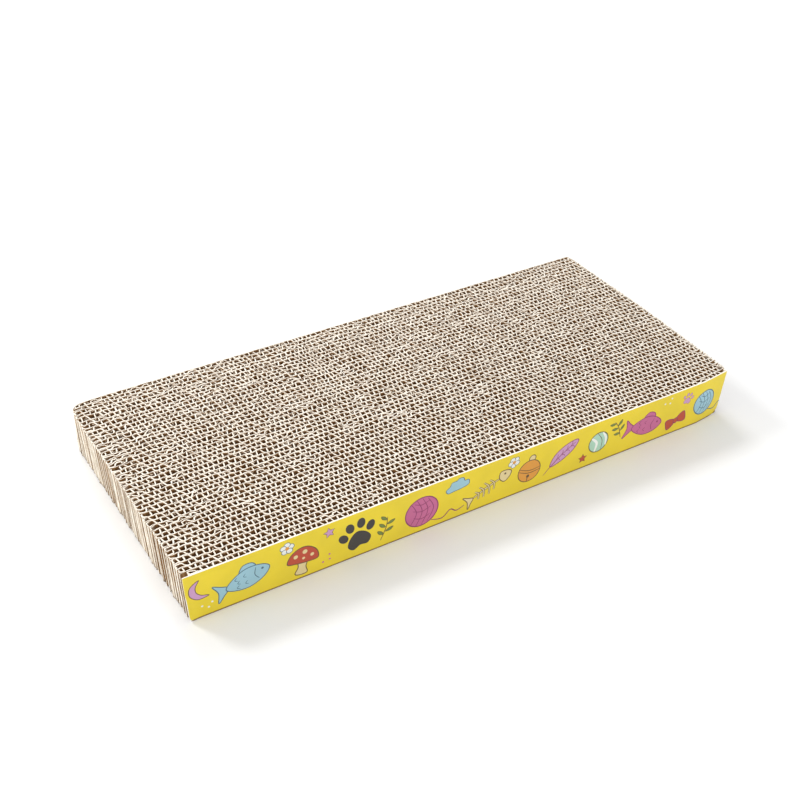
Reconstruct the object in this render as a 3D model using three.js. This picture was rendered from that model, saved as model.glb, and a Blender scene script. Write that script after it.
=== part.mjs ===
// A corrugated cardboard scratching pad for cats, lying flat on the floor.
//
// Single-wall corrugated board is sawn into strips as wide as the pad is high. The strips stand
// on edge with their flutes upright and are glued face to face, so both the top and the bottom of
// the pad show the open ends of the flutes. A printed card covers each long side.
//
// Millimetres, +Z up. X runs along the pad and Y from the front cover to the back cover.
// The origin is under the pad's centre, on the floor.

import * as THREE from 'three';

// The pad
const padLength = 440;
const padHeight = 38;
const stripCount = 45;

// The board: both facing papers of one strip are drawn as one, on its front side
const facingThickness = 0.6;
const fluteHeight = 3.6;
const flutePitch = 7.7;

// Each strip's flutes start this share of a flute further on than those of the strip before it,
// because the strips are stacked as they fall
const fluteShift = 0.382;

// The printed cards and the glue between two neighbours
const coverThickness = 0.5;
const glueLine = 0.1;

// The pad's two back corners are worn round
const backLeftCornerRadius = 7;
const backRightCornerRadius = 4;

const cardboardMaterial = new THREE.MeshStandardMaterial({ color: 0xc9b497, roughness: 0.9, metalness: 0 });
const printedMaterial = new THREE.MeshStandardMaterial({ color: 0xe8d044, roughness: 0.5, metalness: 0 });

const stripThickness = facingThickness + fluteHeight;
const stripSpacing = stripThickness + glueLine;
const padWidth = coverThickness + glueLine + stripCount * stripSpacing + coverThickness;
const frontFace = -padWidth / 2;
const backFace = padWidth / 2;
const firstStripFace = frontFace + coverThickness + glueLine;

// How far a corner of this radius sets the pad's end back at a given depth from the back face
function cornerSetback(radius, y) {
  const fromCentre = radius - (backFace - y);
  if (fromCentre <= 0) return 0;
  return radius - Math.sqrt(radius * radius - Math.min(fromCentre, radius) ** 2);
}

const leftEnd = (y) => -padLength / 2 + cornerSetback(backLeftCornerRadius, y);
const rightEnd = (y) => padLength / 2 - cornerSetback(backRightCornerRadius, y);

// An upright sheet: its plan outline, with y counted from its front face, raised to the pad's height
function standing(name, outline, frontY, material) {
  const geometry = new THREE.ExtrudeGeometry(outline, { depth: padHeight, bevelEnabled: false });
  const mesh = new THREE.Mesh(geometry, material);
  mesh.name = name;
  mesh.position.set(0, frontY, 0);
  return mesh;
}

// A printed card along one long side
function cover(name, frontY) {
  const backY = frontY + coverThickness;
  const outline = new THREE.Shape([
    new THREE.Vector2(leftEnd(frontY), 0),
    new THREE.Vector2(rightEnd(frontY), 0),
    new THREE.Vector2(rightEnd(backY), coverThickness),
    new THREE.Vector2(leftEnd(backY), coverThickness),
  ]);
  return standing(name, outline, frontY, printedMaterial);
}

// The flutes' back at x, as a triangle wave that rises from the facing to the crests
function fluteRise(x, start) {
  const phase = (x - start) / flutePitch;
  return fluteHeight * 2 * Math.abs(phase - Math.round(phase));
}

// One strip of board: a flat facing with a row of upright flutes behind it
function corrugatedStrip(index) {
  const frontY = firstStripFace + index * stripSpacing;
  const backY = frontY + stripThickness;
  const start = ((index * fluteShift) % 1) * flutePitch;
  const left = leftEnd(backY);
  const right = rightEnd(backY);

  const outline = new THREE.Shape();
  outline.moveTo(leftEnd(frontY), 0);
  outline.lineTo(rightEnd(frontY), 0);
  outline.lineTo(right, facingThickness + fluteRise(right, start));
  const halfPitch = flutePitch / 2;
  const last = Math.ceil((right - start) / halfPitch) - 1;
  const first = Math.floor((left - start) / halfPitch) + 1;
  for (let turn = last; turn >= first; turn--) {
    const x = start + turn * halfPitch;
    outline.lineTo(x, facingThickness + fluteRise(x, start));
  }
  outline.lineTo(left, facingThickness + fluteRise(left, start));

  const number = String(index + 1).padStart(2, '0');
  return standing(`corrugated_strip_${number}`, outline, frontY, cardboardMaterial);
}

const pad = new THREE.Group();
pad.add(cover('front_cover', frontFace));
for (let index = 0; index < stripCount; index++) pad.add(corrugatedStrip(index));
pad.add(cover('back_cover', backFace - coverThickness));

export default pad;
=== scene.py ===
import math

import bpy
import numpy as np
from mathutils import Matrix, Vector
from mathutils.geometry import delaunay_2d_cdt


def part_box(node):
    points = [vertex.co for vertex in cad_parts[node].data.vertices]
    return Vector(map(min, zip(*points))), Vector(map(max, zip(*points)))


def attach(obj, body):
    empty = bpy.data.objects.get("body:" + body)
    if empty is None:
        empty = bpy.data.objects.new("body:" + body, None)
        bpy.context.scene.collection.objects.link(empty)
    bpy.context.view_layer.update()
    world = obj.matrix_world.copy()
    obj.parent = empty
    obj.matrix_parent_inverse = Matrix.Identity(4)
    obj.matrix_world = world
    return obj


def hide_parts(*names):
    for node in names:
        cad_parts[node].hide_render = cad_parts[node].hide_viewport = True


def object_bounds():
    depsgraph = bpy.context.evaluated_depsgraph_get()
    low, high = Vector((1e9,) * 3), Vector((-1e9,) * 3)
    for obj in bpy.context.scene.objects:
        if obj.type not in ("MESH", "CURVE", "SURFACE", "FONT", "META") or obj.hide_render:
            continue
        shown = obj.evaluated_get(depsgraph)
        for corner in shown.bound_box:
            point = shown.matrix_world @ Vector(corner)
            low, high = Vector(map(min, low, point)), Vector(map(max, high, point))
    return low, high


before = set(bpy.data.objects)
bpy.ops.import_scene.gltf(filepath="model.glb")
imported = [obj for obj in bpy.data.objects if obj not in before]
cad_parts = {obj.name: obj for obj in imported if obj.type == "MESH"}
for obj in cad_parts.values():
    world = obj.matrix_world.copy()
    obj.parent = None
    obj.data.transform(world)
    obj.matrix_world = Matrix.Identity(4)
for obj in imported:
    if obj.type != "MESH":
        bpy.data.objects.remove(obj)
cad_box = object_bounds()

# A corrugated cardboard scratching pad for cats, on a white studio floor.
#
# Each strip of board is dressed as what it is: two facing papers with a fluted paper between
# them, sawn through at the top, the bottom and both ends. Each printed card is one flat solid
# whose printed face is divided along the outlines of its motifs.

MM = 0.001

# Sizes that the frame gives
strip_names = sorted(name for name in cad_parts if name.startswith("corrugated_strip_"))
pad_low, pad_high = cad_box
pad_height = pad_high.z / MM
pad_length = (pad_high.x - pad_low.x) / MM
back_face = pad_high.y / MM


# Camera: where it stands, in millimetres from the pad's origin, where it looks, in degrees, its
# lens, and how near and how far it sees, in metres
camera_place = (-416.04, -618.82, 581.8)
camera_azimuth = -33.289
camera_elevation = 36.665
camera_roll = 2.789
focal_length_in_pixels = 1280.23
frame_width_in_pixels = 800
sensor_width = 36.0
nearest_seen = 0.01
furthest_seen = 20


def put_in_scene(name, data):
    made = bpy.data.objects.new(name, data)
    bpy.context.scene.collection.objects.link(made)
    return made


def add_camera():
    data = bpy.data.cameras.new("camera")
    data.sensor_width = sensor_width
    data.lens = focal_length_in_pixels / frame_width_in_pixels * sensor_width
    data.clip_start = nearest_seen
    data.clip_end = furthest_seen
    camera = put_in_scene("camera", data)
    azimuth = math.radians(camera_azimuth)
    elevation = math.radians(camera_elevation)
    level = math.cos(elevation)
    forward = Vector((-math.sin(azimuth) * level, math.cos(azimuth) * level, -math.sin(elevation)))
    turn = forward.to_track_quat("-Z", "Y").to_matrix() @ Matrix.Rotation(math.radians(camera_roll), 3, "Z")
    camera.matrix_world = Matrix.Translation(Vector(camera_place) * MM) @ turn.to_4x4()
    bpy.context.scene.camera = camera


# Light: an even white room, a lamp behind the pad's left end, a broad one behind the pad, and
# reflectors low in front of it and to its left. Each has its place in metres, its width and its power.
room_strength = 0.78
lamps = {
    "key_lamp": ((-0.95, 1.22, 1.19), 0.5, 14.5),
    "back_lamp": ((0.3, 1.9, 1.8), 1.0, 23.0),
    "front_reflector": ((0.5, -1.8, 0.42), 0.8, 4.0),
    "left_reflector": ((-1.7, 0.0, 0.4), 0.8, 9.0),
}

# The floor: half its width in metres, its grey, and how much brighter it looks than it is lit
floor_half_size = 4.0
floor_grey = 0.84
floor_lift = 0.06


def camera_ray_switch(nodes, links, off, on):
    """A number that is on where a camera, a reflection or glass sees the surface, else off."""
    path = node(nodes, "ShaderNodeLightPath")
    seen = path.outputs["Is Camera Ray"]
    for ray in ("Is Glossy Ray", "Is Transmission Ray"):
        either = node(nodes, "ShaderNodeMath", operation="MAXIMUM")
        links.new(seen, either.inputs[0])
        links.new(path.outputs[ray], either.inputs[1])
        seen = either.outputs[0]
    return map_range(nodes, links, seen, 0.0, 1.0, off, on)


def add_room():
    scene = bpy.context.scene
    scene.view_settings.view_transform = "Standard"
    world = bpy.data.worlds.new("room")
    scene.world = world
    world.use_nodes = True
    nodes, links = world.node_tree.nodes, world.node_tree.links
    strength = camera_ray_switch(nodes, links, room_strength, 1.0)
    links.new(strength, nodes["Background"].inputs["Strength"])
    nodes["Background"].inputs["Color"].default_value = (1, 1, 1, 1)


def add_lamps():
    for name, (place, width, power) in lamps.items():
        data = bpy.data.lights.new(name, "AREA")
        data.shape = "DISK"
        data.size = width
        data.energy = power
        lamp = put_in_scene(name, data)
        lamp.location = place
        lamp.rotation_euler = (-Vector(place)).to_track_quat("-Z", "Y").to_euler()


def add_floor():
    half = floor_half_size
    corners = [(-half, -half, 0), (half, -half, 0), (half, half, 0), (-half, half, 0)]
    mesh = bpy.data.meshes.new("floor")
    mesh.from_pydata(corners, [], [(0, 1, 2, 3)])
    floor = put_in_scene("floor", mesh)
    material, nodes, links, shader, _ = new_material("floor", roughness=0.9, specular=0.0)
    shader.inputs["Base Color"].default_value = (floor_grey, floor_grey, floor_grey, 1)
    shader.inputs["Emission Color"].default_value = (1, 1, 1, 1)
    links.new(camera_ray_switch(nodes, links, 0.0, floor_lift), shader.inputs["Emission Strength"])
    mesh.materials.append(material)


# Materials: linear colours of the paper, how high in metres it grows darker towards its foot and how much at
# its foot
kraft_light = (0.44, 0.255, 0.11)
kraft_dark = (0.20, 0.10, 0.038)
# The pale of the ends is partly rubbed, sawn paper and partly painted light: it paints the light that falls
# on the pad's ends
rubbed_and_lit_pale = (0.93, 0.88, 0.77)
rubbed_and_lit_tan = (0.54, 0.44, 0.31)
# The paper grows darker towards the foot of the pad
foot_darkening = (0.16, 0.09, 0.045)
foot_darkening_height = 0.003
foot_darkening_most = 0.85
# The sawn edges: pale torn fibre, painted near white as painted highlight for the light that falls on the
# rims
cut_light = (0.97, 0.93, 0.85)
cut_dark = (0.80, 0.69, 0.53)

# The grain of paper and card, in bumps per metre. Streaks run up the paper. Specks and patches are
# mixed in by a share.
streak_scale = 900
streak_stretch = (1, 1, 0.12)
speck_scale = 2600
speck_share = 0.35
fibre_scale = 1500
patch_scale = 130
patch_share = 0.3
card_grain_scale = 1800

# The card's wear, in patches per metre. Its range of noise gives the ink's tone and the roughness.
wear_scale = 45
wear_range = (0.3, 0.7)
worn_tones = (0.94, 1.04)
worn_roughness = (0.38, 0.5)

# The mix node's sockets for a share and two colours, and for the colour that comes out
mix_sockets = (0, 6, 7)
mixed_socket = 2


def node(nodes, kind, **settings):
    made = nodes.new(kind)
    for name, value in settings.items():
        setattr(made, name, value)
    return made


def noise_at(nodes, links, place, scale, detail=4.0, stretch=(1, 1, 1)):
    """Noise in the pad's own coordinates, in bumps per metre, stretched along each axis."""
    mapping = node(nodes, "ShaderNodeMapping")
    mapping.inputs["Scale"].default_value = stretch
    links.new(place, mapping.inputs["Vector"])
    noise = node(nodes, "ShaderNodeTexNoise")
    noise.inputs["Scale"].default_value = scale
    noise.inputs["Detail"].default_value = detail
    links.new(mapping.outputs["Vector"], noise.inputs["Vector"])
    return noise.outputs["Fac"]


def ramp_between(nodes, links, value, low, high, colours):
    """The two colours mixed by a value that runs from low to high."""
    ramp = node(nodes, "ShaderNodeValToRGB")
    ramp.color_ramp.elements[0].position = low
    ramp.color_ramp.elements[1].position = high
    for element, colour in zip(ramp.color_ramp.elements, colours):
        element.color = (*colour, 1)
    links.new(value, ramp.inputs["Fac"])
    return ramp.outputs["Color"]


def map_range(nodes, links, value, from_low, from_high, to_low, to_high):
    made = node(nodes, "ShaderNodeMapRange")
    made.inputs["From Min"].default_value = from_low
    made.inputs["From Max"].default_value = from_high
    made.inputs["To Min"].default_value = to_low
    made.inputs["To Max"].default_value = to_high
    links.new(value, made.inputs["Value"])
    return made.outputs["Result"]


def mix_colours(nodes, links, share, first, second, blend="MIX"):
    """Two colours mixed by a share. Each of the three is a value or what another node gives."""
    mix = node(nodes, "ShaderNodeMix", data_type="RGBA", blend_type=blend)
    for source, number in zip((share, first, second), mix_sockets):
        if isinstance(source, bpy.types.NodeSocket):
            links.new(source, mix.inputs[number])
        else:
            mix.inputs[number].default_value = source
    return mix.outputs[mixed_socket]


def new_material(name, roughness, specular):
    material = bpy.data.materials.new(name)
    material.use_nodes = True
    nodes, links = material.node_tree.nodes, material.node_tree.links
    shader = nodes["Principled BSDF"]
    shader.inputs["Roughness"].default_value = roughness
    shader.inputs["Specular IOR Level"].default_value = specular
    place = node(nodes, "ShaderNodeTexCoord").outputs["Object"]
    return material, nodes, links, shader, place


def bump(nodes, links, shader, height, strength, distance):
    made = node(nodes, "ShaderNodeBump")
    made.inputs["Strength"].default_value = strength
    made.inputs["Distance"].default_value = distance
    links.new(height, made.inputs["Height"])
    links.new(made.outputs["Normal"], shader.inputs["Normal"])


def paper_material():
    """The flat of the papers: brown inside the flutes, pale at the pad's ends, and darker towards its foot.
    The pale is partly rubbed paper and partly painted light. How far a point is pale is stored on the mesh."""
    material, nodes, links, shader, place = new_material("flute_paper", roughness=0.92, specular=0.15)
    streaks = noise_at(nodes, links, place, streak_scale, stretch=streak_stretch)
    specks = noise_at(nodes, links, place, speck_scale, detail=2.0)
    brown = ramp_between(nodes, links, streaks, low=0.3, high=0.7, colours=(kraft_dark, kraft_light))
    pale = ramp_between(nodes, links, streaks, low=0.3, high=0.62, colours=(rubbed_and_lit_tan, rubbed_and_lit_pale))
    # The pale at the ends: rubbed paper, and painted light on the lit ends
    rubbed_and_lit = node(nodes, "ShaderNodeAttribute", attribute_name="rubbed_and_lit").outputs["Fac"]
    clean = mix_colours(nodes, links, rubbed_and_lit, brown, pale)
    height = node(nodes, "ShaderNodeSeparateXYZ")
    links.new(place, height.inputs["Vector"])
    # Darker towards the foot of the pad
    foot = map_range(nodes, links, height.outputs["Z"], 0.0, foot_darkening_height, foot_darkening_most, 0.0)
    colour = mix_colours(nodes, links, foot, clean, (*foot_darkening, 1))
    speckled = mix_colours(nodes, links, speck_share, colour, specks, "OVERLAY")
    links.new(speckled, shader.inputs["Base Color"])
    bump(nodes, links, shader, specks, strength=0.35, distance=0.0001)
    return material


def cut_material():
    """The sawn edges of the papers: pale torn fibre, made near white as painted highlight for the top light.
    """
    material, nodes, links, shader, place = new_material("sawn_edge", roughness=0.97, specular=0.1)
    fibres = noise_at(nodes, links, place, fibre_scale, detail=6.0)
    patches = noise_at(nodes, links, place, patch_scale, detail=3.0)
    colour = ramp_between(nodes, links, fibres, low=0.28, high=0.6, colours=(cut_dark, cut_light))
    toned = mix_colours(nodes, links, patch_share, colour, patches, "SOFT_LIGHT")
    links.new(toned, shader.inputs["Base Color"])
    bump(nodes, links, shader, fibres, strength=0.6, distance=0.0002)
    return material


def print_material():
    """Ink on coated card. The ink's colour is stored on the mesh."""
    material, nodes, links, shader, place = new_material("printed_card", roughness=0.42, specular=0.4)
    ink = node(nodes, "ShaderNodeAttribute", attribute_name="ink").outputs["Color"]
    grain = noise_at(nodes, links, place, card_grain_scale, detail=3.0)
    wear = noise_at(nodes, links, place, wear_scale, detail=5.0)
    tone = map_range(nodes, links, wear, *wear_range, *worn_tones)
    links.new(mix_colours(nodes, links, 1.0, ink, tone, "MULTIPLY"), shader.inputs["Base Color"])
    links.new(map_range(nodes, links, wear, *wear_range, *worn_roughness), shader.inputs["Roughness"])
    bump(nodes, links, shader, grain, strength=0.12, distance=0.00005)
    return material


def wander(x, spacing, amount, rng):
    """A smooth random curve over x that passes a value of up to amount once every spacing."""
    first = x.min() - spacing
    count = int((x.max() - first) / spacing) + 3
    heights = rng.uniform(-amount, amount, count)
    steps = (x - first) / spacing
    whole = steps.astype(int)
    part = steps - whole
    part = part * part * (3 - 2 * part)
    return heights[whole] * (1 - part) + heights[whole + 1] * part


# The strips of board, in millimetres. All random draws start from the seed. tiny keeps a few divisors
# above zero.
seed = 20
tiny = 1e-9
back_left_corner_radius = 7.0
back_right_corner_radius = 4.0

# The facing papers. Their sawn rims are flared a little, more on the first one, behind the card, and
# most near its left end.
facing_thickness = 0.32
facing_flare = 0.06
first_facing_flare = 0.3
flattened_most = 0.9
flattened_reach = 20.0
facing_step = 2.4
facing_fray_spacing = 4.0

# The fluted paper. Its sawn rims are flared most on the walls, between the crests. The crests sink a
# little into the facings. The last strip's is held inside the worn back corners. Neither a facing nor
# a fluted paper is anywhere thinner than least_thickness.
fluted_thickness = 0.4
crest_flare = 0.08
wall_flare = 0.44
crest_sharpness = 6
crest_sink = 0.03
least_thickness = 0.2
held_inside_corners = 1.5
fluted_fray_spacing = 0.3
fluted_thickness_spacing = 0.4

# The wave of the fluted paper. Its walls are steep and lean a little, and its bias makes the crests
# at the back longer than those at the front.
flute_pitch = 7.7
points_in_flute = 16
flute_steepness = 2.5
flute_squareness = 0.42
flute_bias = 0.15
flute_lean = -0.1

# A sway is the spacing and the amount of a smooth random curve, with spacings in waves here. Behind,
# the wave sways more. It is crushed where a curve rises over a limit, which sinks towards the back.
lean_sway = (0.7, 0.4)
wave_sway_spacing = 0.5
wave_sway = 0.55
more_wave_sway_behind = 0.35
crushing_sway = (0.9, 1.0)
crushing_limit = 0.55
crushing_limit_sinks = 0.2
crushing_steepness = 1.8
crushed_most = 0.55

# From row to row the wave shifts by a share of its pitch, with a sway over so many rows. Each crest
# pushes the facing that it is glued to outwards.
flute_shift = -0.16
flute_shift_sway = (5.0, 0.14)
flute_push = 0.45

# The seams between strips wander more towards the back. Each keeps most of the drift and the slide of
# the one before and adds its own. The cards hold the outer ones straight. The curves of the seams run
# on past the pad's ends by the overrun.
roughness_in_front = 0.6
more_roughness_behind = 1.3
long_seam_sway = (9.0, 0.3)
short_seam_sway = (4.0, 0.32)
drift_kept = 0.86
drift_spacing = 30.0
drift_added = 0.34
slide_kept = 0.9
slide_sway = (24.0, 0.6)
rows_held_by_card = 3
seam_step = 1.0
overrun = 6.0

# How much narrower or wider than at rest a strip may be anywhere
squeezed_most = 1.0
widened_most = 1.3

# The front right corner is pushed in: by how much, and over what length of the right end and of the
# card. The front half of the right end also stands out a little.
pushed_in = 1.0
pushed_in_along_end = 9.0
pushed_in_along_card = 20.0
right_end_out = 1.2

# That corner is also bent back, over these lengths of the card and of the right end
bent_back = 3.0
bent_back_along_card = 25.0
bent_back_along_end = 20.0

# Both ends are sawn out of square. How far each stands out at its foot and at its top, over what
# length of the pad, and how far the right end lies in at the back, over what length of that end
left_end_out = (-0.5, 2.2)
right_end_out_by_height = (-2.6, 0.0)
sloping_length = 30.0
right_end_in_behind = 2.4
right_end_in_along_end = 90.0

# The back left corner is pressed in at its top and stands out at its foot
back_corner_in = (-1.0, 1.5)
back_corner_reach = 16.0

# The heights of each sheet's rings of points, how flared and frayed the sheets are at each, and how
# ragged their ends are. The last strip is frayed more than the first by this share.
frayed_height = 1.2
ring_heights = np.array([0.0, frayed_height, pad_height - frayed_height, pad_height])
ring_flare = (1.0, 0.0, 0.0, 1.0)
ring_fray = (0.16, 0.03, 0.03, 0.16)
more_fray_behind = 1.0
ring_end_raggedness = (0.9, 0.3, 0.2, 0.15)
ragged_range = (-0.3, 1.0)

# How uneven the sawn rims are at the top, and what share of that they are at the foot
facing_rim_worn = 0.3
fluted_rim_worn = 0.5
foot_worn_share = 0.6

# The ends of each strip: the papers on both sides of a seam are parted there, some seams more than
# others, and the saw has pressed the last wave of the fluted paper flat across the opening, a
# little further in than the facings reach. The first strip has come away from the card at its left
# end. Each pair of partings is for the left and the right end. The skew leaves few seams wide open.
parted_reach = 4.5
parted_most = (0.8, 0.3)
parted_at_card = (0.9, 0.2)
parted_skew = 1.3
steps_near_end = np.array([0.0, 0.45, 1.0, 1.8, 2.8])
facing_setback_most = 0.6
fold_setback_in_front = (0.3, 1.2)
fold_setback_behind = (0.2, 0.9)
fold_depths = np.array([0.5, 0.12, 0.0, 0.08, 0.2, 0.35])
fold_rises = np.array([-0.62, -0.4, 0.0, 0.4, 0.62, 0.8])
loose_setback = 4.0

# How far in from the ends the papers are pale, partly rubbed and partly painted light: wholly to 0.8 of
# that depth, and fading to nothing at 1.8 of it. The slivers are all rubbed by one share.
rubbed_and_lit_depth = 1.8
rubbed_and_lit_depth_of_facing = 0.3
rubbed_and_lit_fade_end = 1.8
rubbed_slivers = 0.5

# Slivers of paper that the saw left hanging in the flutes, more of them towards the back: their
# sizes, where across the strip they start, how far down, and how far their tips hang
slivers_in_first_strip = 30
slivers_in_last_strip = 260
slivers_clear_of_ends = 6.0
sliver_start = (0.15, 0.85)
sliver_length = (0.9, 2.6)
sliver_width = (0.3, 1.0)
sliver_tip_share = 0.3
sliver_thickness = 0.18
sliver_depth = 0.25
sliver_drop = (0.1, 0.9)


def nearness(distance, reach):
    """A share that falls from 1 at no distance to 0 at the reach."""
    return np.clip(1 - distance / reach, 0, 1)


def corner_setback(radius, y):
    from_centre = np.clip(radius - (back_face - y), 0, radius)
    return radius - np.sqrt(radius * radius - from_centre * from_centre)


def left_end(y):
    return -pad_length / 2 + corner_setback(back_left_corner_radius, y)


def right_end(y):
    out = right_end_out * nearness(y, back_face)
    pushed = (pushed_in + right_end_out) * nearness(y + back_face, pushed_in_along_end)
    return pad_length / 2 - corner_setback(back_right_corner_radius, y) + out - pushed


def round_the_corners(along, depth):
    """Where a sheet that lies depth in from the back face goes, bent round both worn back corners."""
    left = -pad_length / 2 + back_left_corner_radius
    right = pad_length / 2 - back_right_corner_radius
    straight = np.clip(along, left, right)
    radius = np.where(along < 0, back_left_corner_radius, back_right_corner_radius)
    angle = (along - straight) / radius
    return straight + (radius - depth) * np.sin(angle), back_face - radius + (radius - depth) * np.cos(angle)


def held_in_corners(x, y, depth):
    """The points, moved inwards where they lie less than depth inside the worn back corners."""
    for side, radius in ((-1, back_left_corner_radius), (1, back_right_corner_radius)):
        centre_x = side * (pad_length / 2 - radius)
        centre_y = back_face - radius
        out = np.hypot(x - centre_x, y - centre_y)
        outside = (side * (x - centre_x) > 0) & (y > centre_y) & (out > radius - depth)
        share = np.where(outside, (radius - depth) / np.maximum(out, tiny), 1)
        x = centre_x + (x - centre_x) * share
        y = centre_y + (y - centre_y) * share
    return x, y


def out_of_square(points):
    """The points of any piece, moved to where the pad's crooked ends and its bent corners are."""
    x, y, z = points.T
    from_left = x + pad_length / 2
    from_right = pad_length / 2 - x
    right_in = right_end_in_behind * nearness(back_face - y, right_end_in_along_end)
    right_out = np.interp(z / pad_height, (0, 1), right_end_out_by_height) - right_in
    right_out *= nearness(from_right, sloping_length)
    left_out = np.interp(z / pad_height, (0, 1), left_end_out) * nearness(from_left, sloping_length)
    pressed = np.interp(z / pad_height, (0, 1), back_corner_in)
    pressed *= nearness(np.hypot(from_left, y - back_face), back_corner_reach)
    back = bent_back * nearness(from_right, bent_back_along_card)
    back *= nearness(y + back_face, bent_back_along_end)
    return np.stack([x - left_out + right_out + pressed, y - pressed + back, z], 1)


class Seams:
    """The lines where strips meet, front to back, as they wander over the top and over the bottom, how
    far each is parted at its two ends, and where each strip's flutes lie along it."""

    def __init__(self):
        rng = np.random.default_rng(seed)
        fronts = [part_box(name)[0].y / MM for name in strip_names]
        fronts[0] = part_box("front_cover")[1].y / MM
        self.rest = np.array([*fronts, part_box("back_cover")[0].y / MM])
        self.x = np.arange(-pad_length / 2 - overrun, pad_length / 2 + overrun, seam_step)
        last = len(self.rest) - 1
        rows = np.arange(last + 1)
        self.phase = np.cumsum(flute_shift + wander(rows, *flute_shift_sway, rng))
        self.parted = np.array(parted_most) * rng.uniform(0.0, 1.0, (last + 1, 2)) ** parted_skew
        self.parted[0] = parted_at_card
        self.parted[last] = 0
        drift = np.zeros((2, len(self.x)))
        slide = push = 0
        self.offset = []
        self.slide = []
        for row in rows:
            rough = roughness_in_front + more_roughness_behind * row / last
            own = rough * (wander(self.x, *long_seam_sway, rng) + wander(self.x, *short_seam_sway, rng))
            for each in drift:
                each[:] = drift_kept * each + wander(self.x, drift_spacing, drift_added * rough, rng)
            slide = slide_kept * slide + wander(self.x, *slide_sway, rng)
            push_before = push
            push = np.cos(2 * math.pi * ((self.x - slide) / flute_pitch - self.phase[row]))
            own -= flute_push * (push_before + push) / 2
            held = min(1.0, row / rows_held_by_card, (last - row) / rows_held_by_card)
            top = held * (drift[0] + own)
            bottom = held * ((drift[0] + drift[1]) / 2 + own)
            if 0 < row < last:
                bottom_before, top_before = self.offset[-1]
                bottom = np.clip(bottom, bottom_before - squeezed_most, bottom_before + widened_most)
                top = np.clip(top, top_before - squeezed_most, top_before + widened_most)
            self.offset.append((bottom, top))
            self.slide.append(slide)

    def at(self, row, x, height):
        bottom, top = self.offset[row]
        curve = bottom + (top - bottom) * height / pad_height
        return self.rest[row] + np.interp(x, self.x, curve)

    def parting(self, row, x):
        """How far the papers on each side of a seam stand off it near its ends."""
        left = nearness(x - left_end(self.rest[row]), parted_reach)
        right = nearness(right_end(self.rest[row]) - x, parted_reach)
        return self.parted[row][0] * left**2 + self.parted[row][1] * right**2


def sheet(levels, front, back):
    """An upright sheet of paper. front and back hold its two faces: an x and a y row for each ring.
    Returns its vertices, its wall faces and its sawn faces. f and b number the vertices of each."""
    rings, count = levels.shape
    grid = np.zeros((2, rings, count, 3))
    for side, face in enumerate((front, back)):
        grid[side, :, :, 0] = face[:, 0]
        grid[side, :, :, 1] = face[:, 1]
        grid[side, :, :, 2] = levels
    f, b = np.arange(2 * rings * count).reshape(2, rings, count)

    def quads(*corners):
        return np.stack([corner.ravel() for corner in corners], 1)

    walls = [
        quads(f[:-1, :-1], f[:-1, 1:], f[1:, 1:], f[1:, :-1]),
        quads(b[:-1, 1:], b[:-1, :-1], b[1:, :-1], b[1:, 1:]),
    ]
    cuts = [
        quads(f[-1, :-1], f[-1, 1:], b[-1, 1:], b[-1, :-1]),
        quads(b[0, :-1], b[0, 1:], f[0, 1:], f[0, :-1]),
        quads(b[:-1, 0], f[:-1, 0], f[1:, 0], b[1:, 0]),
        quads(f[:-1, -1], b[:-1, -1], b[1:, -1], f[1:, -1]),
    ]
    return grid.reshape(-1, 3), np.concatenate(walls), np.concatenate(cuts)


def ring_levels(count, worn, rng):
    """The height of every point of every ring. The sawn rim at the top is up to worn uneven."""
    levels = np.repeat(ring_heights[:, None], count, 1)
    levels[0] += rng.uniform(0.0, worn * foot_worn_share, count)
    levels[-1] -= rng.uniform(0.0, worn, count)
    return levels


def facing(seams, row, inward, rng):
    """One facing paper: its glued face follows the seam, its other face stands inward of it. The
    rearmost one goes round the back corners."""
    rearmost = row == len(strip_names)
    left, right = left_end(seams.rest[row]), right_end(seams.rest[row])
    if rearmost:
        left, right = -pad_length / 2, pad_length / 2
    if row == 0:
        left += loose_setback
    beyond = steps_near_end[-1] + facing_step / 2
    middle = np.linspace(left + beyond, right - beyond, int((right - left) / facing_step))
    count = len(middle) + 2 * len(steps_near_end)
    flare = first_facing_flare if row == 0 else facing_flare
    setback = rng.uniform(0, facing_setback_most, 2)
    fray = np.array(ring_fray) * (1 + more_fray_behind * row / len(strip_names))
    glued, free = np.zeros((2, len(ring_heights), 2, count))
    for i, height in enumerate(ring_heights):
        ragged = setback + rng.uniform(*ragged_range, 2) * ring_end_raggedness[i]
        left_steps = left + ragged[0] + steps_near_end
        right_steps = right - ragged[1] - steps_near_end[::-1]
        x = np.concatenate([left_steps, middle, right_steps])
        thickness = facing_thickness + flare * ring_flare[i] + wander(x, facing_fray_spacing, fray[i], rng)
        thickness = np.maximum(thickness, least_thickness)
        if row == 0:
            thickness += flattened_most * ring_flare[i] * nearness(x - left, flattened_reach)
        near = seams.at(row, x, height) + inward * seams.parting(row, x)
        for face, y in ((glued, near), (free, near + inward * thickness)):
            face[i] = round_the_corners(x, back_face - y) if rearmost else (x, y)
    levels = ring_levels(count, facing_rim_worn, rng)
    if inward > 0:
        return sheet(levels, glued, free)
    return sheet(levels, free, glued)


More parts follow.
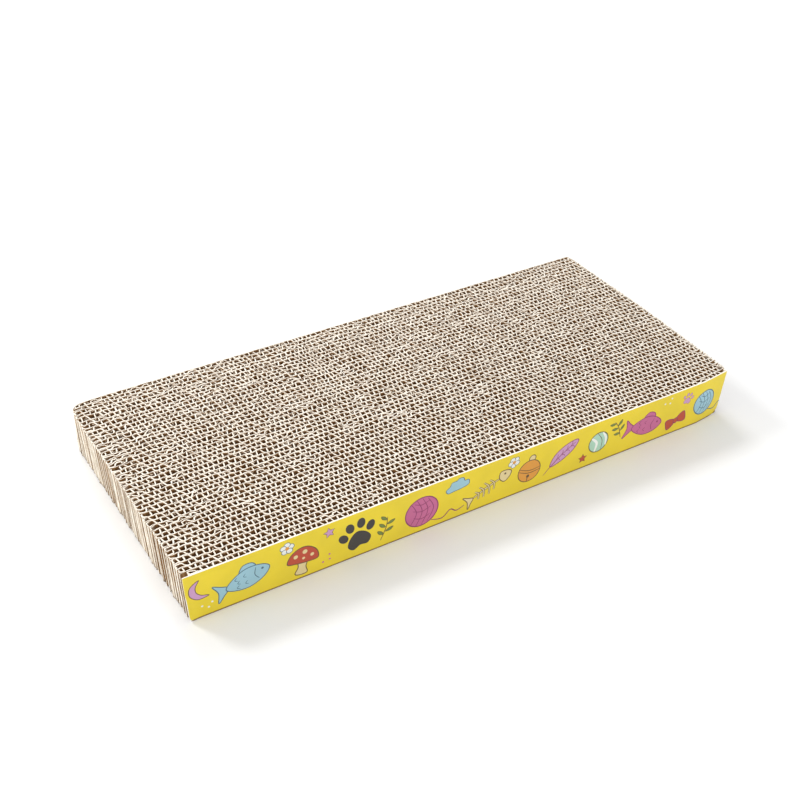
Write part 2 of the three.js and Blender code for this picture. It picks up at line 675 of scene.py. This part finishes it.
def wave(seams, row, share, rng):
    """Points on the wave of a strip's fluted paper: how far along the strip each lies, and its rise,
    from -1 on a crest at the front to 1 on one at the back. share is how far back the strip lies."""
    start = (seams.phase[row] % 1) * flute_pitch
    first = math.floor((-pad_length / 2 - start) / flute_pitch) - 1
    last = math.ceil((pad_length / 2 - start) / flute_pitch) + 1
    turns = np.arange(first * points_in_flute, last * points_in_flute + 1) / points_in_flute
    angle = 2 * math.pi * turns
    along = start + turns * flute_pitch + flute_squareness * np.sin(2 * angle)
    sway = wave_sway + more_wave_sway_behind * share
    along += np.interp(along, seams.x, seams.slide[row]) + wander(turns, wave_sway_spacing, sway, rng)
    rise = -np.tanh(flute_steepness * (np.cos(angle) - flute_bias)) / math.tanh(flute_steepness)
    over_limit = wander(turns, *crushing_sway, rng) - crushing_limit + crushing_limit_sinks * share
    rise = rise * (1 - np.clip(crushing_steepness * over_limit, 0, crushed_most))
    along += (flute_lean + wander(turns, *lean_sway, rng)) * rise
    return along, rise


def folded_at_ends(along, rise, left, right):
    """The part of a wave between left and right, and a fold across the opening at each end."""
    crests = np.arange(0, len(along), points_in_flute // 2)
    crests = crests[(along[crests] > left + fold_depths[0]) & (along[crests] < right - fold_depths[0])]
    keep = slice(crests[0], crests[-1] + 1)
    at_left = -1 if crests[0] % points_in_flute == 0 else 1
    at_right = -1 if crests[-1] % points_in_flute == 0 else 1
    folded_along = np.concatenate([left + fold_depths, along[keep], right - fold_depths[::-1]])
    folded_rise = np.concatenate([at_left * fold_rises, rise[keep], at_right * fold_rises[::-1]])
    return folded_along, folded_rise


def fluted(seams, row, rng):
    """The fluted paper between the facings at a strip's front and back seams."""
    share = row / len(strip_names)
    along, rise = wave(seams, row, share, rng)
    middle = (seams.rest[row] + seams.rest[row + 1]) / 2
    least, most = (a + (b - a) * share for a, b in zip(fold_setback_in_front, fold_setback_behind))
    setback = rng.uniform(least, most, 2)
    left = left_end(middle) + setback[0] + (loose_setback if row == 0 else 0)
    right = right_end(middle) - setback[1]
    along, rise = folded_at_ends(along, rise, left, right)
    count = len(along)
    number = np.arange(count) / points_in_flute
    fray = np.array(ring_fray) * (1 + more_fray_behind * share)
    rim_flare = crest_flare + (wall_flare - crest_flare) * (1 - rise**crest_sharpness)

    front, back = np.zeros((2, len(ring_heights), 2, count))
    for i, height in enumerate(ring_heights):
        x = along + wander(number, fluted_fray_spacing, fray[i], rng)
        gap_front = seams.at(row, x, height) + seams.parting(row, x) + facing_thickness
        gap_back = seams.at(row + 1, x, height) - seams.parting(row + 1, x) - facing_thickness
        reach = (gap_back - gap_front - fluted_thickness) / 2 + crest_sink
        y = (gap_front + gap_back) / 2 + rise * reach
        y += wander(number, fluted_fray_spacing, fray[i], rng) * (1 - rise * rise)
        ragged = rng.uniform(*ragged_range, 2) * ring_end_raggedness[i]
        x[:len(fold_depths)] += ragged[0]
        x[-len(fold_depths):] -= ragged[1]
        if row == len(strip_names) - 1:
            x, y = held_in_corners(x, y, held_inside_corners)
        dx, dy = np.gradient(x), np.gradient(y)
        uneven = wander(number, fluted_thickness_spacing, fray[i], rng)
        thickness = np.maximum(fluted_thickness + rim_flare * ring_flare[i] + uneven, least_thickness)
        half = thickness / 2 / np.maximum(np.hypot(dx, dy), tiny)
        front[i] = x + dy * half, y - dx * half
        back[i] = x - dy * half, y + dx * half
    return sheet(ring_levels(count, fluted_rim_worn, rng), front, back)


def slivers(seams, row, rng):
    """Tapered slivers of torn paper, near the top, each a closed solid of eight points."""
    more = slivers_in_last_strip - slivers_in_first_strip
    count = slivers_in_first_strip + more * row // len(strip_names)
    reach = pad_length / 2 - slivers_clear_of_ends
    x = rng.uniform(-reach, reach, count)
    share = rng.uniform(*sliver_start, count)
    turn = rng.uniform(0, 2 * math.pi, count)
    length = rng.uniform(*sliver_length, count)
    width = rng.uniform(*sliver_width, count)
    drop = rng.uniform(*sliver_drop, count)
    seam_front = seams.at(row, x, pad_height)
    seam_back = seams.at(row + 1, x, pad_height)
    base = np.stack([x, seam_front + share * (seam_back - seam_front)], 1)
    ahead = np.stack([np.cos(turn), np.sin(turn)], 1)
    across = np.stack([-ahead[:, 1], ahead[:, 0]], 1)
    tip = base + ahead * length[:, None]
    tip[:, 1] = np.clip(tip[:, 1], seam_front + facing_thickness, seam_back - facing_thickness)
    points = np.zeros((count, 8, 3))
    corners = ((base, -1, 0), (tip, -sliver_tip_share, 1), (tip, sliver_tip_share, 1), (base, 1, 0))
    for i, (end, side, falls) in enumerate(corners):
        for lower in (0, 1):
            height = pad_height - sliver_depth - falls * drop - lower * sliver_thickness
            points[:, i + 4 * lower, :2] = end + across * (side * width / 2)[:, None]
            points[:, i + 4 * lower, 2] = height
    flats = np.array([(0, 1, 2, 3), (7, 6, 5, 4)])
    edges = np.array([(0, 4, 5, 1), (1, 5, 6, 2), (2, 6, 7, 3), (3, 7, 4, 0)])
    numbers = np.arange(count)[:, None, None] * 8
    return points.reshape(-1, 3), (flats + numbers).reshape(-1, 4), (edges + numbers).reshape(-1, 4)


def new_piece(name, vertices, face_lists, smooth_lists, materials):
    """A mesh object with one material for each list of faces."""
    mesh = bpy.data.meshes.new(name)
    faces = [face.tolist() for faces in face_lists for face in faces]
    mesh.from_pydata((np.asarray(vertices) * MM).tolist(), [], faces)
    slots = np.repeat(np.arange(len(face_lists)), [len(faces) for faces in face_lists])
    mesh.polygons.foreach_set("material_index", slots.astype(np.int32))
    smooth = np.repeat(smooth_lists, [len(faces) for faces in face_lists])
    mesh.polygons.foreach_set("use_smooth", smooth)
    for material in materials:
        mesh.materials.append(material)
    mesh.update()
    return put_in_scene(name, mesh)


def add_strip(seams, row, paper, cut):
    rng = np.random.default_rng([seed, row])
    parts = (
        (facing(seams, row, 1, rng), rubbed_and_lit_depth_of_facing),
        (fluted(seams, row, rng), rubbed_and_lit_depth),
        (facing(seams, row + 1, -1, rng), rubbed_and_lit_depth_of_facing),
        (slivers(seams, row, rng), rubbed_and_lit_depth),
    )
    points, walls, cuts, depths = [], [], [], []
    total = 0
    for (part_points, part_walls, part_cuts), depth in parts:
        points.append(part_points)
        walls.append(part_walls + total)
        cuts.append(part_cuts + total)
        depths.append(np.full(len(part_points), depth))
        total += len(part_points)
    name = strip_names[row]
    vertices = np.concatenate(points)
    faces = [np.concatenate(walls), np.concatenate(cuts)]
    piece = new_piece(f"dressed_{name}", out_of_square(vertices), faces, [True, False], [paper, cut])
    x, y = vertices[:, 0], vertices[:, 1]
    from_end = np.minimum(x - left_end(y), right_end(y) - x)
    share = np.clip(rubbed_and_lit_fade_end - from_end / np.concatenate(depths), 0, 1)
    share[-len(points[-1]):] = rubbed_slivers
    # How far each point is painted pale: rubbed paper, and painted light on the pad's ends
    rubbed_and_lit = piece.data.attributes.new("rubbed_and_lit", "FLOAT", "POINT")
    rubbed_and_lit.data.foreach_set("value", share.astype(np.float32))
    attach(piece, "root")
    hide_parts(name)


# Inks, as linear colours
inks = {
    "yellow": (0.84, 0.655, 0.03),
    "card": (0.93, 0.90, 0.84),
    # scuff: scuffed card, darker still as painted contact shade where the card meets the floor
    "scuff_and_contact_shade": (0.26, 0.135, 0.025),
    "line": (0.13, 0.075, 0.03),
    "magenta": (0.56, 0.14, 0.30),
    "wine": (0.24, 0.03, 0.12),
    "sky": (0.33, 0.56, 0.66),
    "slate": (0.06, 0.13, 0.19),
    "cream": (0.78, 0.64, 0.33),
    "charcoal": (0.045, 0.04, 0.04),
    "red": (0.50, 0.07, 0.035),
    "lilac": (0.60, 0.33, 0.55),
    "mint": (0.42, 0.66, 0.52),
    "leaf": (0.16, 0.24, 0.05),
    "white": (0.86, 0.88, 0.84),
    "amber": (0.75, 0.33, 0.05),
}


# Shapes for the print, in millimetres. A curve takes so many steps from one point to the next. A drawn
# line is as wide as the sine of an angle, to a power that keeps its ends blunt. The angle runs from
# the end angle to half a turn less that.
curve_steps = 5
stroke_end_angle = 0.12
stroke_bluntness = 0.35


def smooth_loop(points, closed=True):
    """A smooth curve through the points."""
    points = np.array(points, float)
    count = len(points)
    out = []
    for i in range(count if closed else count - 1):
        around = points.take(range(i - 1, i + 3), 0, mode="wrap" if closed else "clip")
        before, here, after, beyond = around
        for t in np.arange(curve_steps) / curve_steps:
            slope = (after - before) * t
            bend = (2 * before - 5 * here + 4 * after - beyond) * t**2
            twist = (3 * here - before - 3 * after + beyond) * t**3
            out.append(0.5 * (2 * here + slope + bend + twist))
    if not closed:
        out.append(points[-1])
    return np.array(out)


def ellipse(a, b, at=(0, 0), steps=24):
    turn = np.arange(steps) * 2 * math.pi / steps
    return np.stack([at[0] + a * np.cos(turn), at[1] + b * np.sin(turn)], 1)


def grown(outline, amount):
    """A closed outline, counter-clockwise, moved outwards by amount."""
    side = np.roll(outline, -1, 0) - np.roll(outline, 1, 0)
    out = np.stack([side[:, 1], -side[:, 0]], 1)
    return outline + amount * out / np.maximum(np.hypot(*out.T), tiny)[:, None]


def turned(points, angle):
    """The points, turned anticlockwise about the origin by an angle in radians."""
    rotation = np.array([[math.cos(angle), -math.sin(angle)], [math.sin(angle), math.cos(angle)]])
    return points @ rotation.T


def anticlockwise(outline):
    x, y = outline.T
    area = np.sum(x * np.roll(y, -1) - y * np.roll(x, -1))
    return outline if area > 0 else outline[::-1]


def inked(outline, fill, line="line", width=0.55):
    """A filled shape with a drawn edge."""
    outline = anticlockwise(np.asarray(outline))
    return [(grown(outline, width / 2), line), (grown(outline, -width / 2), fill)]


def stroke(points, ink="line", width=0.5):
    """A drawn line through the points, thinner at its ends."""
    line = smooth_loop(points, closed=False)
    along = np.gradient(line, axis=0)
    across = np.stack([-along[:, 1], along[:, 0]], 1) / np.hypot(*along.T)[:, None]
    angle = np.linspace(stroke_end_angle, math.pi - stroke_end_angle, len(line))
    half = width / 2 * (np.sin(angle) ** stroke_bluntness)[:, None]
    return [(np.concatenate([line - across * half, (line + across * half)[::-1]]), ink)]


def dot(x, y, radius, ink):
    return [(ellipse(radius, radius, (x, y), 14), ink)]


def fish(fill, line="slate"):
    tail = smooth_loop([(-11, 0.6), (-15, 4), (-19, 7), (-17.2, 0.5), (-19, -6.5), (-15, -3.4)])
    fin = smooth_loop([(-4, 6.2), (-1, 10), (4, 9.2), (5.5, 5.6), (0, 5)])
    body = smooth_loop([(-13, 0), (-8, 4.6), (0, 7), (8, 5), (12.6, 0.6), (8.4, -4.4), (0, -6.6),
                        (-8, -4.4)])
    made = inked(tail, fill, line) + inked(fin, fill, line) + inked(body, fill, line)
    made += stroke([(5.4, 4.6), (3.8, 0), (5.4, -4)], line)
    for x, y in ((-1.6, 2.6), (-1.6, -2.6), (-5.6, 0), (-6.6, 3), (-6.6, -3)):
        made += stroke([(x + 0.8, y + 1.3), (x - 0.7, y), (x + 0.8, y - 1.3)], line, 0.38)
    made += dot(8.6, 1.6, 0.75, line)
    return made


def yarn_ball(fill, line="wine", radius=10.0):
    loose_end = radius * np.array([(0.6, -0.82), (1.3, -1), (1.8, -0.62), (2.2, -0.86), (2.7, -0.7)])
    made = stroke(loose_end, line, 0.75)
    made += inked(ellipse(radius, radius * 0.96, steps=32), fill, line, 0.65)
    for share in (-0.55, -0.2, 0.15, 0.5):
        x = share * radius
        reach = radius * math.sqrt(1 - share * share) * 0.92
        made += stroke([(x - 1.5, -reach), (x + radius * 0.22, 0), (x - 1.5, reach)], line, 0.42)
    for share in (-0.45, 0.05, 0.5):
        y = share * radius
        reach = radius * math.sqrt(1 - share * share) * 0.55
        made += stroke([(-reach, y + 1.6), (0, y - 0.4), (reach, y + 1.2)], line, 0.42)
    return made


def mushroom(fill, line="line"):
    stem = smooth_loop([(-2.6, 1), (-2.2, -4), (-3.4, -8), (0, -9), (3.4, -8), (2.2, -4), (2.6, 1)])
    cap = smooth_loop([(-8.6, -0.4), (-7.4, 4.6), (-3, 8.2), (2, 8.4), (7, 5), (8.6, -0.2), (4, -1.4),
                       (-4, -1.4)])
    made = inked(stem, "cream", line) + inked(cap, fill, line)
    for x, y, radius in ((-4.4, 3.2, 1.2), (0.4, 5.4, 1.35), (4.8, 2.6, 1.05), (0.2, 1.4, 0.8)):
        made += dot(x, y, radius, "cream")
    return made


def flower(fill, line="slate", middle="amber"):
    made = []
    for k in range(5):
        turn = 2 * math.pi * k / 5 + 0.3
        centre = (2.5 * math.cos(turn), 2.5 * math.sin(turn))
        made += inked(ellipse(1.95, 1.75, centre, 14), fill, line, 0.4)
    return made + dot(0, 0, 1.25, middle)


def paw(fill, line="line", width=0.55):
    pad = smooth_loop([(0, 1.6), (-3.6, -0.6), (-5.4, -4.4), (-3.4, -7.2), (0, -6.2), (3.4, -7.2),
                       (5.4, -4.4), (3.6, -0.6)])
    made = inked(pad, fill, line, width)
    for x, y, tilt in ((-6.6, 1.6, 0.5), (-2.7, 5.4, 0.15), (2.7, 5.4, -0.15), (6.6, 1.6, -0.5)):
        toe = turned(ellipse(1.75, 2.5, steps=16), tilt)
        made += inked(toe + (x, y), fill, line, width)
    return made


def sprig(fill, line="line"):
    made = stroke([(-1.4, -8), (-0.4, -3), (0.2, 2), (-0.6, 8)], line, 0.6)
    for side, y in ((-1, -4), (1, -2), (-1, 1), (1, 3), (-1, 6)):
        outline = ((0.4, 0), (2.2, 2.1), (4.8, 2.7), (3.4, 0.5))
        leaf = smooth_loop([(side * out, y + up) for out, up in outline])
        made += inked(leaf, fill, line, 0.38)
    return made


def fish_bone(fill, line="line"):
    made = stroke([(-10.5, 0), (0, 0.5), (9, 0)], line, 1.7)
    made += stroke([(-10, 0), (0, 0.5), (9, 0)], fill, 0.9)
    for x, reach in ((-6.4, 3.2), (-3, 4.4), (0.6, 5), (4.2, 4.2)):
        rib = [(x - 1.2, -reach), (x + 0.5, 0.3), (x - 1.2, reach)]
        made += stroke(rib, line, 1.4) + stroke(rib, fill, 0.7)
    head = smooth_loop([(8.4, 0), (10.4, 4), (14.6, 2.6), (16.6, 0), (14.6, -2.8), (10.4, -4)])
    tail = smooth_loop([(-9.8, 0), (-12.4, 2.4), (-15.4, 5), (-14, 0), (-15.4, -5), (-12.4, -2.4)])
    return made + inked(head, fill, line) + inked(tail, fill, line) + dot(12.6, 1.0, 0.7, line)


def bell(fill, line="line"):
    made = inked(ellipse(2.2, 2.2, (0, 8.6), 16), "cream", line)
    made += inked(ellipse(7.6, 7.4, steps=28), fill, line)
    made += stroke([(-7.2, 1.8), (0, 0.2), (7.2, 1.8)], line, 0.5)
    made += stroke([(-7.4, 0.2), (0, -1.5), (7.4, 0.2)], line, 0.5)
    return made + dot(0, -3.6, 1.1, line) + stroke([(0, -4), (0, -5.6), (0, -7.2)], line, 0.6)


def cloud(fill, line="slate"):
    puffs = smooth_loop([(-8, -3), (-9.4, 0.2), (-6.2, 2.2), (-4.4, 5), (-0.4, 5), (1.4, 6.2),
                         (4.8, 5.2), (5.6, 2.4), (8.8, 1.6), (8.6, -2.4), (3, -3.4), (-3, -3.2)])
    return inked(puffs, fill, line)


def star(fill, line="line", radius=3.6):
    turns = np.arange(10) * math.pi / 5 + math.pi / 2
    reach = np.where(np.arange(10) % 2, 0.48, 1.0) * radius
    return inked(np.stack([reach * np.cos(turns), reach * np.sin(turns)], 1), fill, line, 0.4)


def feather(fill, line="wine"):
    vane = smooth_loop([(-9, -3.2), (-5, 2.4), (2, 5.2), (9.4, 5.4), (12.6, 3.4), (8.4, -0.8), (2, -3.2),
                        (-4, -4)])
    made = inked(vane, fill, line) + stroke([(-14.5, -6.6), (-9, -3.6), (0, 0.4), (10.4, 3.2)], line, 0.55)
    for x in (-4.0, -0.4, 3.2, 6.8):
        y = 0.4 + x * 0.28
        made += stroke([(x, y), (x + 1.4, y + 1.4), (x + 1.8, y + 3)], line, 0.36)
        made += stroke([(x, y), (x + 1.8, y - 0.8), (x + 2.2, y - 2.2)], line, 0.36)
    return made


def striped_ball(fill, stripe, line="line"):
    made = inked(ellipse(6.4, 6.4, steps=26), fill, line)
    made += stroke([(-3.6, -5), (-1.2, 0), (-3.6, 5)], stripe, 1.6)
    made += stroke([(3.8, -4.8), (5, 0), (3.8, 4.8)], stripe, 1.3)
    return made + stroke([(0.6, -6), (2.4, 0), (0.6, 6)], line, 0.4)


def moon(fill, line="line"):
    crescent = smooth_loop([(2.6, 6.4), (-3, 5), (-5.4, 0), (-3, -5), (2.6, -6.4), (-0.6, -3.4),
                            (-1.8, 0), (-0.6, 3.4)])
    return inked(crescent, fill, line, 0.45)


def bow(fill, line="wine"):
    left = smooth_loop([(0, 0.4), (-4, 3.6), (-8, 4), (-8.6, 0), (-7.8, -4), (-4, -3.4)])
    right = left * (-1, 1)
    made = inked(left, fill, line) + inked(right, fill, line)
    return made + inked(ellipse(1.9, 2.2, steps=16), fill, line)


def confetti(ink):
    made = []
    for x, y in ((-3, 1.6), (0.4, -1.4), (3.2, 1.2)):
        made += dot(x, y, 0.7, ink)
    return made


# Each motif of the print: its drawing, its centre along and up the card, its size and its turn
front_print = [
    (moon("lilac"), -211, 23, 1.25, 20), (confetti("white"), -207, 8, 1.1, 10),
    (fish("sky"), -179, 18, 1.2, 12), (flower("white"), -152, 30, 1.15, 0),
    (mushroom("red"), -141, 15, 1.3, -8), (star("lilac"), -122, 30, 1.2, 10),
    (confetti("magenta"), -123, 8, 1.1, 50),
    (paw("charcoal", "charcoal"), -101, 19, 1.55, 12), (sprig("leaf"), -80, 15, 1.2, -12),
    (yarn_ball("magenta"), -52, 17.5, 1.28, 0), (cloud("sky"), -24, 28, 1.0, 6),
    (fish_bone("cream"), 1, 16, 1.25, 22), (flower("white"), 22, 30, 1.1, 30),
    (bell("amber"), 36, 17, 1.25, -10), (feather("lilac"), 64, 20, 1.25, 16),
    (star("red"), 84, 9, 1.1, 0), (striped_ball("mint", "white"), 97, 19, 1.35, 16),
    (sprig("leaf"), 115, 24, 1.1, 26), (fish("magenta", "wine"), 142, 17, 1.15, -10),
    (confetti("white"), 161, 31, 1.1, 30), (bow("red"), 171, 11, 1.1, 14),
    (paw("lilac", "wine", 0.4), 180, 28, 0.62, -16),
    (yarn_ball("sky", "slate", 8.5), 199, 18, 1.3, 0),
]


def placed(motif, x, y, size, turn):
    return [(turned(size * points, math.radians(turn)) + (x, y), ink) for points, ink in motif]


# The printed cards, in millimetres: the spacing of their points, in general and over the bent length
# at each end, the scuffed edge at the foot, darkened also as painted contact shade, the worn one at
# the top, and the front card's lower corners, worn round over a width and a height. Its lower left
# one is lifted off the pad.
card_grid = 6.0
card_grid_clear_of_top = 1.0
card_grid_at_ends = 1.0
bent_length = 8.0
scuffed_and_shaded_edge = 1.0
worn_edge = 0.25
lifted_corner_reach = 9.0
lifted_corner_height = 0.8
lower_left_corner = (3.0, 2.4)
lower_right_corner = (10.0, 6.2)
corner_steps = 6
print_tolerance = 1e-5

# The printed face swells and sinks by a sway along the card, slanted by so much for its height
swell_sway = (27.0, 0.05)
swell_slant = 0.6


def card_columns():
    """Where the card has points along it: close together at its two ends, which bend on the back card."""
    end = pad_length / 2
    bent = np.arange(card_grid_at_ends, bent_length, card_grid_at_ends)
    between = np.linspace(bent_length - end, end - bent_length, int(pad_length / card_grid))
    return np.concatenate([bent - end, between, end - bent[::-1]])


def card_outline():
    """The card seen from its printed side, anticlockwise, with its lower corners worn round."""
    left, right = -pad_length / 2, pad_length / 2
    turns = np.linspace(0, math.pi / 2, corner_steps)
    columns = card_columns()
    outline = []
    for side, end, (width, height) in ((-1, left, lower_left_corner), (1, right, lower_right_corner)):
        arc = np.stack([end - side * width * (1 - np.sin(turns)), height * (1 - np.cos(turns))], 1)
        outline += list(arc[::side])
        if side < 0:
            clear = (columns > left + width) & (columns < right - lower_right_corner[0])
            outline += [(x, 0) for x in columns[clear]]
    top = [(x, pad_height) for x in (right, *columns[::-1], left)]
    return np.array(outline + top)


def band(low, high):
    """A band across the card from end to end, with a point wherever the card has one."""
    along = [-pad_length / 2, *card_columns(), pad_length / 2]
    return np.array([(x, low) for x in along] + [(x, high) for x in along[::-1]])


# Where the print has rubbed off the card's lower left corner and its left edge, from that corner
worn_corner = smooth_loop([(-1, -1), (2.2, -1), (2.6, 0.9), (1.0, 1.6), (0.5, 4), (0.3, 20), (-1, 20)])


def inside(points, outline):
    """Which of the points lie inside a closed outline."""
    x, y = points.T
    found = np.zeros(len(points), bool)
    for (ax, ay), (bx, by) in zip(outline, np.roll(outline, -1, 0)):
        if ay != by:
            found ^= ((ay > y) != (by > y)) & (x < ax + (y - ay) * (bx - ax) / (by - ay))
    return found


def divide_print(motifs):
    """The printed face as flat faces, each with the ink that lies uppermost there."""
    shapes = [(card_outline(), "yellow")]
    for drawing, x, y, size, turn in motifs:
        shapes += placed(drawing, x, y, size, turn)
    shapes.append((band(pad_height - worn_edge, pad_height), "card"))
    shapes.append((worn_corner - (pad_length / 2, 0), "card"))
    # The dark band at the foot: scuffed card and painted contact shade
    shapes.append((band(0, scuffed_and_shaded_edge), "scuff_and_contact_shade"))
    points, edges = [], []
    for outline, _ in shapes:
        numbers = np.arange(len(outline)) + len(points)
        edges += zip(numbers.tolist(), np.roll(numbers, -1).tolist())
        points += [Vector(point) for point in outline]
    rows = np.arange(card_grid, pad_height - card_grid_clear_of_top, card_grid)
    points += [Vector((x, y)) for x in card_columns() for y in rows]
    flat, _, triangles, *_ = delaunay_2d_cdt(points, edges, [], 0, print_tolerance)
    flat, triangles = np.array(flat), np.array(triangles)
    centres = flat[triangles].mean(1)
    uppermost = np.full(len(triangles), -1)
    for number, (outline, _) in enumerate(shapes):
        uppermost[inside(centres, outline)] = number
    on_card = inside(centres, shapes[0][0])
    colours = [inks[shapes[number][1]] for number in uppermost[on_card]]
    used, faces = np.unique(triangles[on_card], return_inverse=True)
    return flat[used], [tuple(face) for face in faces.reshape(-1, 3).tolist()], colours


def rim(faces):
    """The boundary of a flat patch of faces, in order."""
    edges = {(face[i], face[(i + 1) % len(face)]) for face in faces for i in range(len(face))}
    after = {a: b for a, b in edges if (b, a) not in edges}
    loop = [min(after)]
    while after[loop[-1]] != loop[0]:
        loop.append(after[loop[-1]])
    return loop


def add_cover(name, motifs, outward, corner_lift, material):
    """A card glued on one long side. outward is the y direction that its printed face looks in."""
    low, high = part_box(name)
    printed_y = (high.y if outward > 0 else low.y) / MM
    glued_y = (low.y if outward > 0 else high.y) / MM
    flat, faces, colours = divide_print(motifs)
    across = -outward * flat[:, 0]
    if outward < 0:
        across = across - pushed_in * nearness(pad_length / 2 - across, pushed_in_along_card)
    rng = np.random.default_rng([seed, len(name)])
    swell = wander(flat[:, 0] + swell_slant * flat[:, 1], *swell_sway, rng)
    from_corner = np.hypot(flat[:, 0] + pad_length / 2, flat[:, 1])
    lift = corner_lift * nearness(from_corner, lifted_corner_reach) ** 2
    sides = []
    for y in (printed_y + outward * (swell + lift), glued_y + outward * lift):
        x, y = round_the_corners(across, back_face - y) if outward > 0 else (across, y)
        sides.append(np.stack([x, y, flat[:, 1]], 1))
    loop = rim(faces)
    count = len(flat)
    walls = [(b, a, a + count, b + count) for a, b in zip(loop, loop[1:] + loop[:1])]
    inner = [tuple(v + count for v in reversed(face)) for face in faces]
    face_lists = [np.array(group) for group in (faces, walls, inner)]
    vertices = out_of_square(np.concatenate(sides))
    piece = new_piece(f"printed_{name}", vertices, face_lists, [True, False, False], [material] * 3)
    ink = piece.data.attributes.new("ink", "FLOAT_COLOR", "CORNER")
    at_corners = [colour for colour in colours for _ in range(3)]
    at_corners += [inks["card"]] * (4 * len(walls) + 3 * len(inner))
    ink.data.foreach_set("color", np.array([(*colour, 1) for colour in at_corners], np.float32).ravel())
    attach(piece, "root")
    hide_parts(name)


add_camera()
add_room()
add_lamps()
add_floor()
paper, cut, printed = paper_material(), cut_material(), print_material()
seams = Seams()
for row in range(len(strip_names)):
    add_strip(seams, row, paper, cut)
back_print = [(drawing, -x, y, size, turn) for drawing, x, y, size, turn in front_print]
add_cover("front_cover", front_print, -1, lifted_corner_height, printed)
add_cover("back_cover", back_print, 1, 0.0, printed)
